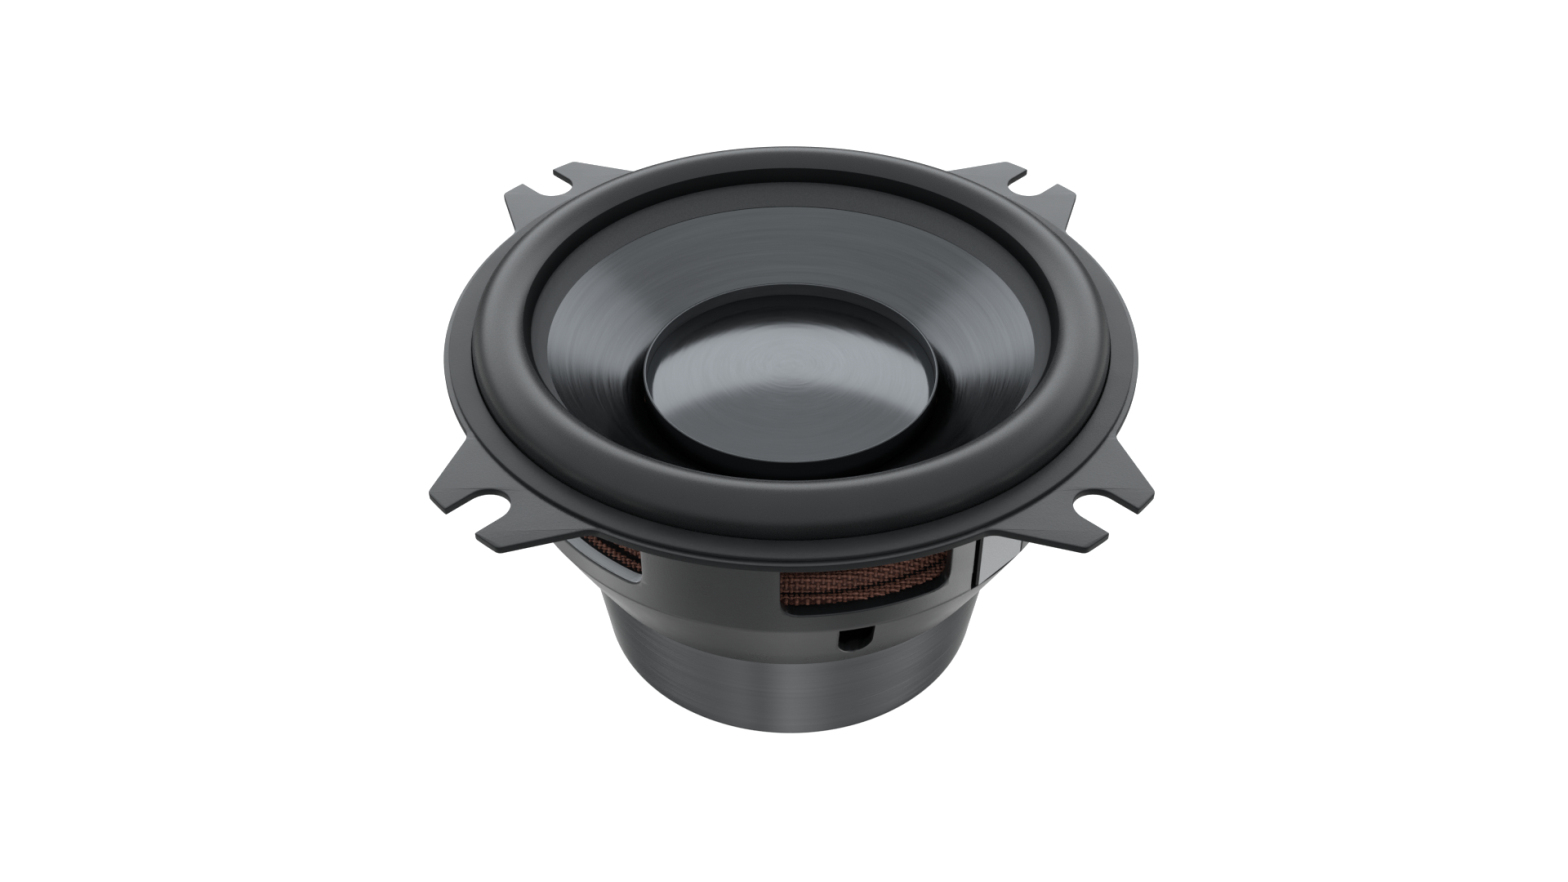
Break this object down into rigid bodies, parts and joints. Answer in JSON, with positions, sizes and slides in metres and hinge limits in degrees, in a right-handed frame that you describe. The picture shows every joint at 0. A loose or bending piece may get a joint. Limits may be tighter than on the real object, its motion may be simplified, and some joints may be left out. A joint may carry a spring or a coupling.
{
  "type": "car woofer driver",
  "caption": "Compact round car woofer driver with a spun cone inside a half-roll surround, slotted fixing tabs, a windowed basket and a tapered cup motor.",
  "frame": {"origin": "centre of the motor cup's flat rear face", "axes": "+Z along the driver's axis, out of the cone; the four tabs lie at 45 degrees to X and Y, and the terminal block faces +X -Y"},
  "size_m": [0.1054, 0.1054, 0.0643],
  "materials": {
    "basket_metal": "satin dark grey paint on die-cast metal, with faint circular brushing on the wall",
    "ring_coat": "fine-grained matt coat",
    "surround_rubber": "moulded butyl rubber with a soft matt sheen",
    "cone_skin": "black anodised, spun, with fine circular scratches",
    "cap_skin": "black anodised, spun, brighter than the cone",
    "former_sheet": "black coated former sheet",
    "copper_wire": "enamelled copper",
    "solder": "bright tin-lead solder",
    "spider_cloth": "coarse square weave, resin-stiffened, brown",
    "cup_steel": "turned and dark plated, with fine circular grain",
    "magnet_plating": "nickel plate",
    "pole_steel": "zinc plate",
    "screw_steel": "black oxide",
    "block_plastic": "moulded glass-filled plastic",
    "terminal_brass": "bare brass",
    "terminal_tin": "tin plate",
    "lead_braid": "braided copper tinsel"
  },
  "bodies": {
    "frame": {"basket": "basket_metal", "gasket_ring": "ring_coat", "motor_cup": "cup_steel", "magnet": "magnet_plating", "top_plate": "pole_steel", "motor_screws": "screw_steel", "terminal_block": "block_plastic", "positive_terminal": "terminal_brass", "negative_terminal": "terminal_tin", "terminal_solder": "solder", "surround": "surround_rubber", "spider": "spider_cloth", "positive_lead": "lead_braid", "negative_lead": "lead_braid"},
    "diaphragm": {"cone": "cone_skin", "dust_cap": "cap_skin", "coil_former": "former_sheet", "voice_coil": "copper_wire", "coil_lead_outs": "copper_wire", "lead_pads": "solder"}
  },
  "joints": [
    {"name": "cone_travel", "type": "slide", "parent": "frame", "child": "diaphragm", "axis": [0, 0, 1], "range_m": [-0.004, 0.004], "stiffness_N_per_m": 1500, "deforming": ["surround", "spider", "positive_lead", "negative_lead"]}
  ]
}
